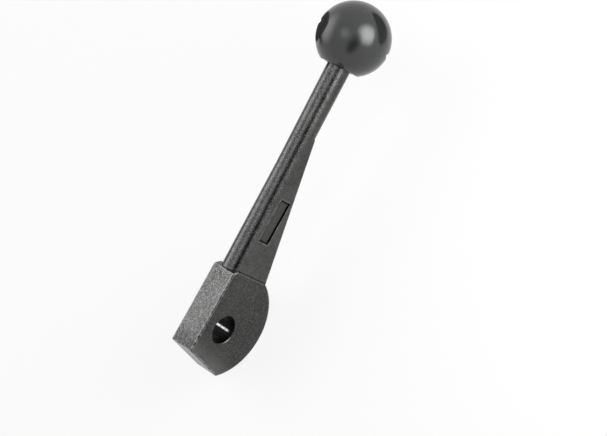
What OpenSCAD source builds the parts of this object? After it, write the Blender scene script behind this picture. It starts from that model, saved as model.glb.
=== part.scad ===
// Eccentric lever: a forged cam head with a plain pivot bore, a round shank braced by a flat rib,
// and a moulded ball knob screwed onto the end of the shank.
// Origin at the bore centre, bore along Y, shank toward +X, the head's top flat up.

/* [Cam head] */
// Diameter of the pivot bore
bore_d = 10; // [6:0.5:16]
// Thickness of the head, a running fit in its fork
head_t = 9.8; // [6:0.1:16]
// Radius of the clamping face
cam_r = 19.1; // [12:0.1:30]
// Distance of the cam's centre from the bore, toward the shank
cam_offset = 1.9; // [0.5:0.1:4]
// Height of the top flat over the bore axis
flat_h = 10; // [7:0.1:16]
// Distance from the bore axis back to the end face at the top flat
end_back = 10.5; // [8:0.1:16]
// Lean of the end face, its foot further back
end_lean = 14.8; // [0:0.1:25]
// Corner radius between the end face and the clamping face
toe_r = 1.5; // [0.5:0.1:3]
// Distance from the bore axis to the shoulder above the shank
shoulder_x = 19.5; // [15:0.1:28]
// Broken edge around the head
edge_break = 0.35; // [0.1:0.05:0.8]
// Broken edge at the mouths of the bore
bore_break = 0.3; // [0.1:0.05:0.8]

/* [Shank] */
// Diameter at the shoulder
shank_root_d = 8.7; // [5:0.1:14]
// Diameter at the waist, half way along
shank_waist_d = 7.8; // [5:0.1:14]
// Diameter under the knob
shank_end_d = 8.2; // [5:0.1:14]
// Drop of the shank's top below the head's flat
shank_drop = 0.45; // [0:0.05:2]
// Rise of the shank's axis toward the knob
shank_rise = 2.6; // [0:0.1:6]
// Length along the shank from the shoulder to the seat of the knob
shank_l = 75.2; // [50:0.1:130]

/* [Rib] */
// Thickness of the rib, whose sides run up onto the shank as flats
rib_t = 7.7; // [4:0.1:12]
// Depth of the rib below the bore axis at the shoulder
rib_foot = 9.1; // [5:0.1:14]
// Slope of the rib's lower edge
rib_slope = 16.1; // [8:0.1:25]
// Distance from the bore axis to the far end of the rib
rib_end_x = 70; // [45:0.1:100]
// Length of the blunt run-out at that end
rib_tip_l = 1.4; // [0.2:0.1:5]
// Broken edge along the rib
rib_break = 0.4; // [0.1:0.05:1]

/* [Mark panel] */
// Length of the bare panel sunk in the rib's side
panel_l = 15.5; // [8:0.1:25]
// Height of the panel
panel_h = 5.2; // [2:0.1:8]
// Depth of the panel
panel_depth = 0.4; // [0.1:0.05:1]
// Distance from the bore axis to the panel's near end
panel_x = 31.3; // [24:0.1:50]
// Height of the panel's foot over the bore axis
panel_z = 0.6; // [-4:0.1:4]

/* [Ball knob] */
// Diameter of the ball
knob_d = 25; // [16:1:40]
// Diameter of the mouth flat, to the sharp corner that its round replaces
mouth_d = 13.6; // [11:0.1:16]
// Diameter of the recess that takes the end of the shank
socket_d = 9.8; // [6:0.1:16]
// Depth of that recess
socket_depth = 1.2; // [0.4:0.1:3]
// Corner radius around the mouth flat
mouth_round = 1; // [0.2:0.1:2]
// Width of the two nicks on the ball's equator
nick_w = 2.4; // [1:0.1:4]
// Depth of the nicks
nick_depth = 0.6; // [0.2:0.1:1.2]
// Turn of the nicks around the shank, from the bore's direction
nick_turn = 127; // [0:1:180]

/* [Stud] */
// Outside diameter of the thread on the stud
stud_d = 6; // [4:0.5:12]
// Length of the stud inside the knob
stud_l = 11; // [6:0.5:20]
// Depth of the knob's threaded hole past its socket
hole_depth = 13; // [8:0.5:24]
// Clearance between the stud and the knob's hole, on the diameter
thread_play = 0.2; // [0.1:0.05:0.5]
// Chamfer at the stud's end
stud_break = 0.8; // [0.2:0.1:1.5]
// Point angle of the drill that ends the hole
drill_angle = 118; // [90:1:140]

/* [Hidden] */
$fn = 96;
eps = 0.01;
steel = [0.36, 0.36, 0.35];
thermoset = [0.17, 0.17, 0.175];

// Toe: centre of its round, and the steps from there to where it leaves the end face and the cam
end_dir = [-sin(end_lean), -cos(end_lean)];
end_in = [cos(end_lean), -sin(end_lean)];
end_top = [-end_back, flat_h];
cam_c = [cam_offset, 0];
toe_q = end_top + toe_r * end_in - cam_c;
toe_b = toe_q * end_dir;
toe_s = -toe_b + sqrt(pow(toe_b, 2) - toe_q * toe_q + pow(cam_r - toe_r, 2));
toe_c = cam_c + toe_q + toe_s * end_dir;
toe_to_end = -toe_r * end_in;
toe_to_cam = toe_r * (toe_c - cam_c) / (cam_r - toe_r);

// Shank axis: its height at the shoulder and at any distance from the bore
axis_z = flat_h - shank_drop - shank_root_d / 2;
function axis_at(x) = axis_z + (x - shoulder_x) * tan(shank_rise);
waist_s = shank_l / 2;
root_in = (shoulder_x - bore_d / 2) / 2;

// Knob: mouth flat and seat under the ball's centre, the round at the rim with its steps to flat and ball,
// and the ball's centre on the shank
knob_r = knob_d / 2;
mouth_z = sqrt(pow(knob_r, 2) - pow(mouth_d / 2, 2));
rim_c = [sqrt(pow(knob_r - mouth_round, 2) - pow(mouth_z - mouth_round, 2)), mouth_round - mouth_z];
rim_to_flat = [0, -mouth_round];
rim_to_ball = mouth_round * rim_c / (knob_r - mouth_round);
seat_z = mouth_z - socket_depth;
knob_s = shank_l + seat_z;
stud_end = shank_l + stud_l;
hole_r = (stud_d + thread_play) / 2;

// Rib: height of its lower edge at any distance from the bore, and where the run-out begins
function rib_at(x) = (x - shoulder_x) * tan(rib_slope) - rib_foot;
tip_x = rib_end_x - rib_tip_l;
far = 2 * cam_r;

// Lays a side-view outline, drawn in X and Z, out to a thickness across Y
module plate(t) {
    rotate([90, 0, 0]) linear_extrude(height = t, center = true) children();
}

// Everything below one level and inside a thickness, with both upper edges broken
module roof(t, c) {
    rotate([90, 0, 90]) linear_extrude(height = 3 * far, center = true)
        polygon([[-t / 2, -2 * far], [t / 2, -2 * far], [t / 2, -c],
            [t / 2 - c, 0], [c - t / 2, 0], [-t / 2, -c]]);
}

// Places what is drawn along Z onto the shank's axis, from the shoulder outward
module on_shank() {
    translate([shoulder_x, 0, axis_z]) rotate([0, 90 - shank_rise, 0]) children();
}

// Rounds one corner of an outline, from the round's centre and its steps to the two sides
module round_corner(c, a, b) {
    difference() {
        children();
        polygon([c, c + a, c + (a + b) * (a * a) / (a * a + a * b), c + b]);
    }
    translate(c) circle(r = norm(a));
}

// Side view of the head: the cam's circle cut by the top flat, the end face and the shoulder
module head_outline() {
    round_corner(toe_c, toe_to_end, toe_to_cam) intersection() {
        translate(cam_c) circle(r = cam_r);
        polygon([[shoulder_x, flat_h], end_top, end_top + 2 * cam_r * end_dir, [shoulder_x, -2 * cam_r]]);
    }
}

// Clamping face as a drum with both rims broken
module cam_drum() {
    translate([cam_offset, 0, 0]) rotate([90, 0, 0]) rotate_extrude()
        polygon([[0, -head_t / 2], [cam_r - edge_break, -head_t / 2], [cam_r, edge_break - head_t / 2],
            [cam_r, head_t / 2 - edge_break], [cam_r - edge_break, head_t / 2], [0, head_t / 2]]);
}

module head() {
    intersection() {
        plate(head_t) head_outline();
        cam_drum();
        translate([0, 0, flat_h]) roof(head_t, edge_break);
        translate([-end_back, 0, flat_h]) rotate([0, end_lean - 90, 0]) roof(head_t, edge_break);
        translate([shoulder_x, 0, 0]) rotate([0, 90, 0]) roof(head_t, edge_break);
    }
}

// Round bar, slightly waisted, ending in the stud that takes the knob
module shank() {
    on_shank() rotate_extrude() polygon([[0, -root_in], [shank_root_d / 2, -root_in], [shank_root_d / 2, 0],
        [shank_waist_d / 2, waist_s], [shank_end_d / 2, shank_l], [stud_d / 2, shank_l],
        [stud_d / 2, stud_end - stud_break], [stud_d / 2 - stud_break, stud_end], [0, stud_end]]);
}

// Flat brace under the shank, from the head's foot to a blunt run-out on the sides of the shank
module rib() {
    intersection() {
        plate(rib_t) polygon([[shoulder_x - root_in, axis_z], [rib_end_x, axis_at(rib_end_x)],
            [tip_x, rib_at(tip_x)], [shoulder_x - root_in, rib_at(shoulder_x - root_in)]]);
        translate([shoulder_x, 0, -rib_foot]) rotate([180, -rib_slope, 0]) roof(rib_t, rib_break);
    }
}

// Takes the sides of the shank down to the rib's flats, as far as the rib runs
module flank_tools() {
    for (side = [-1, 1]) translate([shoulder_x, side * (rib_t + head_t) / 2, 0])
        translate([0, -head_t / 2, -far]) cube([rib_end_x - shoulder_x, head_t, 2 * far]);
}

module bore_tool() {
    rotate([90, 0, 0]) {
        cylinder(h = 2 * head_t, d = bore_d, center = true);
        for (side = [0, 1]) mirror([0, 0, side]) translate([0, 0, head_t / 2 - bore_break])
            cylinder(h = bore_break + eps, d1 = bore_d, d2 = bore_d + 2 * (bore_break + eps));
    }
}

module panel_tool() {
    translate([panel_x, -rib_t / 2 - panel_depth, panel_z]) cube([panel_l, 2 * panel_depth, panel_h]);
}

// Head, shank, rib and stud, forged as one piece
module lever() {
    color(steel) difference() {
        union() {
            head();
            difference() {
                shank();
                flank_tools();
            }
            rib();
        }
        bore_tool();
        panel_tool();
    }
}

// Straight V cut across the ball's equator on one side
module nick_tool() {
    translate([knob_r - nick_depth, 0, 0]) rotate([90, 0, 0]) linear_extrude(height = knob_d, center = true)
        polygon([[0, 0], [2 * nick_depth, nick_w], [2 * nick_depth, -nick_w]]);
}

// Half section of the knob about the shank's axis, from the ball's centre
module knob_outline() {
    difference() {
        round_corner(rim_c, rim_to_flat, rim_to_ball) intersection() {
            circle(r = knob_r);
            translate([0, -mouth_z]) square([knob_d, knob_d + mouth_z]);
        }
        translate([0, -2 * mouth_z]) square([socket_d / 2, 2 * mouth_z - seat_z]);
        polygon([[0, -mouth_z], [hole_r, -mouth_z], [hole_r, hole_depth - seat_z],
            [0, hole_depth - seat_z + hole_r / tan(drill_angle / 2)]]);
    }
}

// Moulded ball with a flat mouth, a socket for the shank's end and a blind threaded hole
module ball_knob() {
    color(thermoset) on_shank() translate([0, 0, knob_s]) difference() {
        rotate_extrude() knob_outline();
        rotate([0, 0, nick_turn]) for (turn = [0, 180]) rotate([0, 0, turn]) nick_tool();
    }
}

lever();
ball_knob();
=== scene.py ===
"""Look of the eccentric lever: a blackened forging with a blasted grain and a moulded ball knob,
on a pale studio floor under soft light."""
import math

import bmesh
import bpy
import numpy as np
from mathutils import Matrix, Vector
from mathutils.kdtree import KDTree


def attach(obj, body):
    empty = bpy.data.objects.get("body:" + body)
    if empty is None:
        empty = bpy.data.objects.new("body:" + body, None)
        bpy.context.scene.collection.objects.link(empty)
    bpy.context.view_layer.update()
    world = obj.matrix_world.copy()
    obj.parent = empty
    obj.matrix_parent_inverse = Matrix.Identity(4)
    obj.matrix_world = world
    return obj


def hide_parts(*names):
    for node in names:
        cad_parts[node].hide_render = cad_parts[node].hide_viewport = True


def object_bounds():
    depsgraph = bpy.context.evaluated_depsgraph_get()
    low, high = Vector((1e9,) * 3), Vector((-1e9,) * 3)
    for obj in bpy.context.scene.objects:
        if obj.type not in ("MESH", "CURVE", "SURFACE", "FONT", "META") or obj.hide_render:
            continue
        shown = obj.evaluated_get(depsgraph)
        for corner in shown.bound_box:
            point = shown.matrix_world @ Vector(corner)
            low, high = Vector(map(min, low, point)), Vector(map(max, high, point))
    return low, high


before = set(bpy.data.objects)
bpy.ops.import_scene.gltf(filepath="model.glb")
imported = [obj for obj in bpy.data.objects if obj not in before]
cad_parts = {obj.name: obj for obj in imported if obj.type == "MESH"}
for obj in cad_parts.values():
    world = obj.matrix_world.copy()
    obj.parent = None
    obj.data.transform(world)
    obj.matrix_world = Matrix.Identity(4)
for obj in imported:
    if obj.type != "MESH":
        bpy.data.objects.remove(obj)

MM = 0.001
cad_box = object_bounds()

# Lever's mesh, in millimetres: longest edge on its faces and near sharp edges, how near that is,
# the angle that counts as sharp, the passes at each length, and how close points are welded
LONGEST = 0.9
FINE = 0.4
NEAR_EDGE = 0.5
SHARP = math.radians(32)
PASSES = 2
WELD = 0.001

# Wear and painted shade, in millimetres: their width along edges, where the rib's tip begins and what wear is left
# on it, the painted shade at the shoulder and its half width, and the panel's share left free of painted shade
# with the rim that leads to it
MARK_WIDTH = 0.35
TIP_X, TIP_WEAR = 62.0, 0.35
SHOULDER_NEAR, SHOULDER_SHADE = 0.2, 0.85
PANEL_UNSHADED = 0.65
PANEL_RIM = 0.25, 1.0

# Places on the lever, in millimetres: radius round the bore's wall and round its mouth, half widths that only the
# head and only the step down to the rib reach, the end face's top edge and lean, the toe's length, the panel's box
BORE_REACH = 5.03
MOUTH_REACH = 5.6
HEAD_HALF = 4.4
STEP_HALF = 3.4
END_X, END_Z = -10.5, 10.0
END_LEAN = math.radians(14.8)
TOE_LENGTH = 8.0
PANEL = (31.2, -3.8, 0.5), (46.9, -3.4, 5.9)

# How far a face looks sideways where it begins to count as a flank and where it fully does
FLANK_FROM, FLANK_FULL = 0.8, 0.97

# Greys: darkest and lightest of each surface, the toe's painted shade from above and painted light from the side,
# specks, bare metal that also paints the bore's highlight, and the black of painted shade
HEAD_TONES = 0.051, 0.11
SHANK_TONES = 0.043, 0.081
SIDE_TONES = 0.036, 0.056
RIB_TONES = 0.054, 0.09
KNOB_TONES = 0.019, 0.025
FLOOR_TONES = 0.88, 0.9
TOE_TOP_SHADE, TOE_SIDE_LIGHT = 0.03, 0.15
SPECK_HEAD, SPECK_BAR = 0.205, 0.16
BARE_AND_HIGHLIGHT, BLACK = 0.45, 0.006
FLAG_TONE = 0.01

# Camera: the point it aims at, its distance, heading, height over the horizon and roll, and its focal length
AIM = Vector((45.0, -10.9, 0)) * MM
DISTANCE = 588 * MM
HEADING = math.radians(1.36)
HEIGHT = math.radians(52.46)
ROLL = math.radians(-61.94)
FOCAL = 106.9
SENSOR = 36.0
CLIP = 10 * MM

# Stage: the ball's middle, the floor's width, how far under the lever it lies and the share of it that is plain
# white to the eye, the world's light on the lever, and how far off lamps and flags stand
BALL = Vector((103.9, 0, 9.0)) * MM
FLOOR_WIDTH = 0.7
FLOOR_GAP = 0.1 * MM
FLOOR_WHITE = 0.84
WORLD_LEVEL = 0.05
AROUND = 0.62
ALONG, ACROSS, UPRIGHT = Vector((1, 0, 0)), Vector((0, 1, 0)), Vector((0, 0, 1))


def place(name, data):
    made = bpy.data.objects.new(name, data)
    bpy.context.scene.collection.objects.link(made)
    return made


def add(tree, kind, inputs=None, **settings):
    """Adds one shader node, and links or sets its inputs."""
    made = tree.nodes.new(kind)
    for name, value in settings.items():
        setattr(made, name, value)
    for name, value in (inputs or {}).items():
        if isinstance(value, bpy.types.NodeSocket):
            tree.links.new(value, made.inputs[name])
        else:
            made.inputs[name].default_value = value
    return made


def cloud(tree, where, size, detail=3.0, rough=0.55):
    """Noise whose blotches are about size millimetres wide."""
    inputs = {"Vector": where, "Scale": 1 / (size * MM), "Detail": detail, "Roughness": rough}
    return add(tree, "ShaderNodeTexNoise", inputs).outputs["Fac"]


def remap(tree, value, low, high, to_low=0.0, to_high=1.0, curve="LINEAR"):
    inputs = {"Value": value, "From Min": low, "From Max": high, "To Min": to_low, "To Max": to_high}
    return add(tree, "ShaderNodeMapRange", inputs, interpolation_type=curve).outputs["Result"]


def calc(tree, operation, first, *others):
    """Takes values together two by two with one operation."""
    for other in others:
        first = add(tree, "ShaderNodeMath", {0: first, 1: other}, operation=operation).outputs[0]
    return first


def blend(tree, share, a, b):
    """Mixes two colours; the numbers are the colour sockets of Blender's Mix node."""
    return add(tree, "ShaderNodeMix", {0: share, 6: a, 7: b}, data_type="RGBA").outputs[2]


def grey(level, warm=0.0):
    return (level * (1 + warm), level, level * (1 - warm), 1.0)


def between(tree, share, tones, warm=0.0):
    return blend(tree, share, grey(tones[0], warm), grey(tones[1], warm))


def bump(tree, height, depth, strength, **under):
    """Normal of a surface raised by up to depth millimetres."""
    inputs = {"Strength": strength, "Distance": depth * MM, "Height": height, **under}
    return add(tree, "ShaderNodeBump", inputs).outputs["Normal"]


def attribute(tree, name):
    return add(tree, "ShaderNodeAttribute", attribute_name=name).outputs["Fac"]


def new_material(name):
    made = bpy.data.materials.new(name)
    made.use_nodes = True
    tree = made.node_tree
    return made, tree, tree.nodes["Principled BSDF"]


def mix_surface(tree, share, a, b):
    """Makes the material's surface a mix of two shaders."""
    mixed = add(tree, "ShaderNodeMixShader", {0: share, 1: a, 2: b})
    tree.links.new(mixed.outputs["Shader"], tree.nodes["Material Output"].inputs["Surface"])


def smooth_step(value, low, high):
    t = np.clip((value - low) / (high - low), 0, 1)
    return t * t * (3 - 2 * t)


def vectors(items, name, count):
    out = np.empty(count * 3)
    items.foreach_get(name, out)
    return out.reshape(-1, 3)


def store(mesh, name, domain, values):
    mesh.attributes.new(name, "FLOAT", domain).data.foreach_set("value", values.astype(np.float32))


def edge_points(skin, convex):
    """Points closely along the sharp edges that stand out, or along those that lie in a corner."""
    found = []
    for edge in skin.edges:
        angle = edge.calc_face_angle_signed()
        if abs(angle) > SHARP and (angle > 0) == convex:
            a, b = (v.co for v in edge.verts)
            steps = math.ceil(edge.calc_length() / (FINE / 2))
            found += [a.lerp(b, i / steps) for i in range(steps + 1)]
    tree = KDTree(len(found))
    for i, point in enumerate(found):
        tree.insert(point, i)
    tree.balance()
    return tree


def distance_to(tree, point):
    return tree.find(point)[2]


def split_long(skin, is_long):
    long = [e for e in skin.edges if is_long(e)]
    bmesh.ops.subdivide_edges(skin, edges=long, cuts=1, use_single_edge=True)
    bmesh.ops.triangulate(skin, faces=[f for f in skin.faces if len(f.verts) > 3])


def divided_mesh(source, name):
    """Finely divided copy of a mesh, in millimetres, with its corner normals and points along its sharp edges."""
    skin = bmesh.new()
    skin.from_mesh(source)
    skin.transform(Matrix.Scale(1 / MM, 4))
    kept = skin.loops.layers.float_vector.new("kept_normal")
    corners = vectors(source.corner_normals, "vector", len(source.loops))
    for corner, normal in zip((c for f in skin.faces for c in f.loops), corners):
        corner[kept] = normal
    bmesh.ops.remove_doubles(skin, verts=skin.verts, dist=WELD)
    out_edges, in_edges = edge_points(skin, True), edge_points(skin, False)

    limit = max(e.calc_length() for e in skin.edges) / 2
    while limit > LONGEST / 2:
        for _ in range(PASSES):
            split_long(skin, lambda e: e.calc_length() > max(limit, LONGEST))
        limit /= 2
    near = {v: min(distance_to(out_edges, v.co), distance_to(in_edges, v.co)) < NEAR_EDGE for v in skin.verts}
    split_long(skin, lambda e: e.calc_length() > FINE and any(near[v] for v in e.verts))
    mesh = bpy.data.meshes.new(name)
    skin.to_mesh(mesh)
    skin.free()

    normals = vectors(mesh.attributes["kept_normal"].data, "vector", len(mesh.loops))
    mesh.attributes.remove(mesh.attributes["kept_normal"])
    return mesh, normals / np.linalg.norm(normals, axis=1)[:, None], out_edges, in_edges


def store_marks(mesh, normals, out_edges, in_edges):
    """Stores what the steel depends on: wear, painted shade in corners and the toe's painted light and shade by
    point, and the kind of surface by corner.
    """
    points = vectors(mesh.vertices, "co", len(mesh.vertices))
    x, y, z = points.T
    shoulder = x[np.abs(y) > HEAD_HALF].max()
    from_shoulder = np.abs(x - shoulder)
    from_out = np.array([distance_to(out_edges, p) for p in points])
    from_in = np.array([distance_to(in_edges, p) for p in points])

    wear = 1 - smooth_step(from_out, 0, MARK_WIDTH)
    wear[np.hypot(x, z) < MOUTH_REACH + NEAR_EDGE] = 0
    wear[from_shoulder < NEAR_EDGE] = 0
    wear[x > TIP_X] *= TIP_WEAR
    # Painted shade: darkening in concave corners, over the sunk panel and along the shoulder step
    painted_shade = 1 - smooth_step(from_in, 0, MARK_WIDTH)
    sunk = ((points > PANEL[0]) & (points < PANEL[1])).all(axis=1)
    painted_shade[sunk] = 1 - PANEL_UNSHADED * smooth_step(from_in[sunk], *PANEL_RIM)
    painted_shade[(from_shoulder < SHOULDER_NEAR) & (np.abs(y) > STEP_HALF)] = SHOULDER_SHADE
    from_end = (x - END_X) * math.cos(END_LEAN) - (z - END_Z) * math.sin(END_LEAN)
    store(mesh, "wear", "POINT", wear)
    store(mesh, "painted_shade", "POINT", painted_shade)
    # Toe: where painted light and shade are laid near the end face
    store(mesh, "toe", "POINT", 1 - smooth_step(from_end, 0, TOE_LENGTH))

    corner_vertex = np.empty(len(mesh.loops), dtype=np.int32)
    mesh.loops.foreach_get("vertex_index", corner_vertex)
    middle = points[corner_vertex].reshape(-1, 3, 3).mean(axis=1).repeat(3, axis=0)
    from_axis = np.hypot(middle[:, 0], middle[:, 2])
    flank = smooth_step(np.abs(normals[:, 1]), FLANK_FROM, FLANK_FULL)
    flank[from_axis < MOUTH_REACH] = 1
    store(mesh, "flank", "CORNER", flank)
    store(mesh, "bored", "CORNER", from_axis < BORE_REACH)
    store(mesh, "bar", "CORNER", middle[:, 0] > shoulder)


def divided_copy(node, name):
    """Finely divided copy of a CAD node with its own edges and normals, for wear and painted shade that follow the
    edges.
    """
    mesh, normals, out_edges, in_edges = divided_mesh(node.data, name)
    store_marks(mesh, normals, out_edges, in_edges)
    mesh.transform(Matrix.Scale(MM, 4))
    mesh.polygons.foreach_set("use_smooth", np.ones(len(mesh.polygons), dtype=bool))
    mesh.normals_split_custom_set(normals)
    return place(name, mesh)


def bore_shade_and_highlight(tree, where, mottle):
    """Painted shade and highlight: a black wall with one painted highlight streak along its lowest line."""
    axes = add(tree, "ShaderNodeSeparateXYZ", {"Vector": where}).outputs
    aside = add(tree, "ShaderNodeMath", {0: axes["X"]}, operation="ABSOLUTE").outputs[0]
    painted_highlight = calc(tree, "MULTIPLY", remap(tree, aside, 0.2 * MM, 0.5 * MM, 1.0, 0.0),
                  remap(tree, axes["Z"], -MM, 0.0, 1.0, 0.0), remap(tree, axes["Y"], -3.0 * MM, -2.0 * MM),
                  remap(tree, mottle, 0.3, 0.5))
    return between(tree, painted_highlight, (BLACK, BARE_AND_HIGHLIGHT))


def steel_material():
    """Blackened steel with a blasted grain: flanks are smoother and edges are rubbed bare; corners, the shoulder
    step and the panel get painted shade, the bore painted shade with a painted highlight, and the toe painted
    light and shade.
    """
    made, tree, shader = new_material("forged_steel")
    where = add(tree, "ShaderNodeTexCoord").outputs["Object"]
    flank, bored, bar = (attribute(tree, name) for name in ("flank", "bored", "bar"))
    wear, painted_shade, toe = (attribute(tree, name) for name in ("wear", "painted_shade", "toe"))
    grain = cloud(tree, where, 0.34, 2.0, 0.6)
    mottle = cloud(tree, where, 1.6, 4.0, 0.6)
    patch = cloud(tree, where, 12.0, 2.0)
    rough_skin = remap(tree, flank, 0.0, 1.0, 1.0, 0.4)

    tone = remap(tree, calc(tree, "ADD", mottle, patch), 0.75, 1.25)
    # Painted light and shade near the toe: the sides are lightened and the top is darkened
    at_toe = calc(tree, "MULTIPLY", toe, remap(tree, patch, 0.3, 0.7, 0.5, 1.0))
    head = blend(tree, at_toe, between(tree, tone, HEAD_TONES, 0.01), grey(TOE_TOP_SHADE))
    shank = between(tree, tone, SHANK_TONES, 0.01)
    side = blend(tree, at_toe, between(tree, tone, SIDE_TONES, 0.025), grey(TOE_SIDE_LIGHT, 0.02))
    rib = between(tree, tone, RIB_TONES, 0.02)
    colour = blend(tree, flank, blend(tree, bar, head, shank), blend(tree, bar, side, rib))
    specks = calc(tree, "MULTIPLY", remap(tree, grain, 0.5, 0.64), rough_skin,
                  remap(tree, at_toe, 0.0, 1.0, 1.0, 0.4))
    colour = blend(tree, specks, colour, between(tree, bar, (SPECK_HEAD, SPECK_BAR)))
    rubbed = calc(tree, "MULTIPLY", wear, remap(tree, mottle, 0.4, 0.6, 0.1, 0.7))
    colour = blend(tree, rubbed, colour, grey(BARE_AND_HIGHLIGHT))
    # Painted shade: corners, the panel and the shoulder step are blended toward black
    colour = blend(tree, remap(tree, painted_shade, 0.2, 0.9, 0.0, 0.97), colour, grey(BLACK))
    # Painted shade and a painted highlight inside the bore
    colour = blend(tree, bored, colour, bore_shade_and_highlight(tree, where, mottle))
    shader.inputs["Metallic"].default_value = 1.0
    tree.links.new(colour, shader.inputs["Base Color"])

    rough = remap(tree, mottle, 0.3, 0.7, 0.22, 0.32)
    for share, change in ((flank, 0.1), (bar, -0.07), (rubbed, 0.3), (bored, -0.1)):
        rough = calc(tree, "ADD", rough, calc(tree, "MULTIPLY", share, change))
    tree.links.new(rough, shader.inputs["Roughness"])

    swell = bump(tree, cloud(tree, where, 5.0, 1.0), 0.03, 1.0)
    blasted = bump(tree, calc(tree, "ADD", grain, mottle), 0.032, rough_skin, Normal=swell)
    tree.links.new(blasted, shader.inputs["Normal"])
    return made


def knob_material():
    """Moulded semi-gloss plastic with faint smears."""
    made, tree, shader = new_material("knob_plastic")
    where = add(tree, "ShaderNodeTexCoord").outputs["Object"]
    fine = cloud(tree, where, 0.6)
    broad = cloud(tree, where, 9.0)
    tree.links.new(between(tree, broad, KNOB_TONES, -0.03), shader.inputs["Base Color"])
    shader.inputs["IOR"].default_value = 1.58
    smear = calc(tree, "ADD", broad, calc(tree, "MULTIPLY", fine, 0.5))
    tree.links.new(remap(tree, smear, 0.4, 1.1, 0.1, 0.18), shader.inputs["Roughness"])
    height = calc(tree, "ADD", fine, calc(tree, "MULTIPLY", broad, 4.0))
    tree.links.new(bump(tree, height, 0.01, 0.3), shader.inputs["Normal"])
    return made


def quad(name, width, height, material):
    mesh = bpy.data.meshes.new(name)
    w, h = width / 2, height / 2
    mesh.from_pydata([(-w, -h, 0), (w, -h, 0), (w, h, 0), (-w, h, 0)], [], [(0, 1, 2, 3)])
    mesh.materials.append(material)
    return place(name, mesh)


def card(name, toward, width, height, material, distance=AROUND, upright=UPRIGHT, centre=AIM):
    """Flat card out along a direction from a centre, turned back toward it and unseen by the camera."""
    made = quad(name, width, height, material)
    z = toward.normalized()
    x = upright.cross(z).normalized()
    turn = Matrix((x, z.cross(x), z)).transposed().to_4x4()
    made.matrix_world = Matrix.Translation(centre + z * distance) @ turn
    made.visible_camera = False
    return made


def oval(tree, width, height):
    """0 in the middle of a card and 1 at the oval that just fits it."""
    where = add(tree, "ShaderNodeTexCoord").outputs["Object"]
    to_rim = {0: where, 1: (2 / width, 2 / height, 0)}
    share = add(tree, "ShaderNodeVectorMath", to_rim, operation="MULTIPLY").outputs[0]
    return add(tree, "ShaderNodeVectorMath", {0: share}, operation="LENGTH").outputs["Value"]


def glow_material(name, radiance, core, width, height):
    """Lamp front that is brightest in its middle and fades into the white around it at an oval rim."""
    made, tree, shader = new_material(name)
    shader.inputs["Base Color"].default_value = grey(0.0)
    shader.inputs["Specular IOR Level"].default_value = 0.0
    shader.inputs["Emission Color"].default_value = grey(1.0)
    fade = remap(tree, oval(tree, width, height), core, 1.0, radiance, 1.0, "SMOOTHSTEP")
    tree.links.new(fade, shader.inputs["Emission Strength"])
    return made


def glow(name, toward, width, height, radiance, core=0.0, distance=AROUND, centre=AIM):
    material = glow_material(name, radiance, core, width, height)
    card(name, toward, width, height, material, distance, UPRIGHT, centre)


def flag_material(name, tone, solid, width, height):
    """Dark cloth that is thick in its middle and frays out toward an oval rim."""
    made, tree, shader = new_material(name)
    shader.inputs["Base Color"].default_value = grey(tone)
    shader.inputs["Roughness"].default_value = 1.0
    shader.inputs["Specular IOR Level"].default_value = 0.0
    share = remap(tree, oval(tree, width, height), solid, 1.0)
    clear = add(tree, "ShaderNodeBsdfTransparent")
    mix_surface(tree, share, shader.outputs["BSDF"], clear.outputs["BSDF"])
    return made


def flag(name, toward, width, height, solid, distance=AROUND, upright=UPRIGHT, centre=AIM):
    material = flag_material(name, FLAG_TONE, solid, width, height)
    card(name, toward, width, height, material, distance, upright, centre)


def ball_flag(name, at, toward, width, height, upright, tone=FLAG_TONE):
    """Small flag close by the ball that shows in its gloss and takes no light off the floor."""
    material = flag_material(name, tone, 0.9, width, height)
    made = card(name, toward, width, height, material, 0.0, upright, at)
    made.visible_shadow = False
    made.visible_diffuse = False


def seen_directly(tree):
    """1 where the camera, a mirror or glass shows the surface, 0 where it only lights others."""
    path = add(tree, "ShaderNodeLightPath").outputs
    return calc(tree, "ADD", path["Is Camera Ray"], path["Is Glossy Ray"], path["Is Transmission Ray"])


def floor_material():
    """White floor: most of what the camera and mirrors see of it is its own white, which softens the shadow."""
    made, tree, shader = new_material("floor")
    where = add(tree, "ShaderNodeTexCoord").outputs["Object"]
    tree.links.new(between(tree, cloud(tree, where, 40.0), FLOOR_TONES), shader.inputs["Base Color"])
    shader.inputs["Roughness"].default_value = 0.9
    shader.inputs["Specular IOR Level"].default_value = 0.1
    white = add(tree, "ShaderNodeEmission", {"Color": grey(1.0), "Strength": 1.0})
    share = remap(tree, seen_directly(tree), 0.0, 1.0, 0.0, FLOOR_WHITE)
    mix_surface(tree, share, shader.outputs["BSDF"], white.outputs["Emission"])
    return made


def add_floor():
    floor = quad("floor", FLOOR_WIDTH, FLOOR_WIDTH, floor_material())
    floor.location.z = cad_box[0].z - FLOOR_GAP


def add_world():
    """White to the camera and mirrors, and dim as a light on the lever."""
    world = bpy.data.worlds.new("studio")
    bpy.context.scene.world = world
    world.use_nodes = True
    tree = world.node_tree
    background = tree.nodes["Background"]
    background.inputs["Color"].default_value = grey(1.0)
    strength = remap(tree, seen_directly(tree), 0.0, 1.0, WORLD_LEVEL, 1.0)
    tree.links.new(strength, background.inputs["Strength"])


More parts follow.
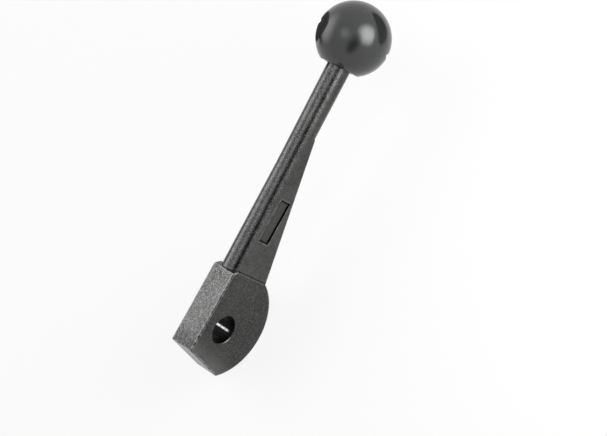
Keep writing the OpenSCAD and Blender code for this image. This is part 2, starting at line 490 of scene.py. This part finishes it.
def add_camera():
    """Sets up the camera and gives the directions right, up and back from its view."""
    back = Vector((math.sin(HEADING), -math.cos(HEADING), 0)) * math.cos(HEIGHT) + UPRIGHT * math.sin(HEIGHT)
    level = Vector((math.cos(HEADING), math.sin(HEADING), 0))
    right = level * math.cos(ROLL) + back.cross(level) * math.sin(ROLL)
    up = back.cross(right)
    data = bpy.data.cameras.new("camera")
    data.sensor_fit = "HORIZONTAL"
    data.sensor_width = SENSOR
    data.lens = FOCAL
    data.clip_start = CLIP
    camera = place("camera", data)
    turn = Matrix((right, up, back)).transposed().to_4x4()
    camera.matrix_world = Matrix.Translation(AIM + back * DISTANCE) @ turn
    bpy.context.scene.camera = camera
    return right, up, back


def shown_at(across, above):
    """Direction that a ball mirrors to the camera, at this share of its radius right of and above its middle."""
    normal = right * across + up * above + back * math.sqrt(1 - across ** 2 - above ** 2)
    return 2 * normal.dot(back) * normal - back


lever = divided_copy(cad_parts["lever"], "lever_forging")
lever.data.materials.append(steel_material())
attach(lever, "root")
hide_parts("lever")

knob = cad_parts["ball_knob"]
knob.data.materials.clear()
knob.data.materials.append(knob_material())

right, up, back = add_camera()
add_floor()
add_world()
glow("back_light", Vector((0, 0.79, 0.61)), 1.3, 0.9, radiance=3.2, distance=0.75)
glow("over_light", shown_at(-0.22, 0.15), 0.52, 0.46, radiance=2.2)
glow("ball_light", shown_at(0.34, 0.06), 0.44, 0.44, radiance=7.8, core=0.15, distance=0.3, centre=BALL)
flag("camera_flag", shown_at(0.02, -0.08), 0.225, 0.5, solid=0.25, distance=0.26, upright=ALONG,
     centre=AIM - ALONG * 0.025)
flag("back_flag", shown_at(-0.82, 0.28), 0.6, 0.24, solid=0.3)
ball_flag("side_flag", Vector((198, -40, -16)) * MM, UPRIGHT, 0.17, 0.096, upright=ACROSS)
ball_flag("far_flag", Vector((102, 24, 17)) * MM, ACROSS, 0.022, 0.034, upright=UPRIGHT, tone=0.08)

bpy.context.scene.view_settings.view_transform = "Standard"
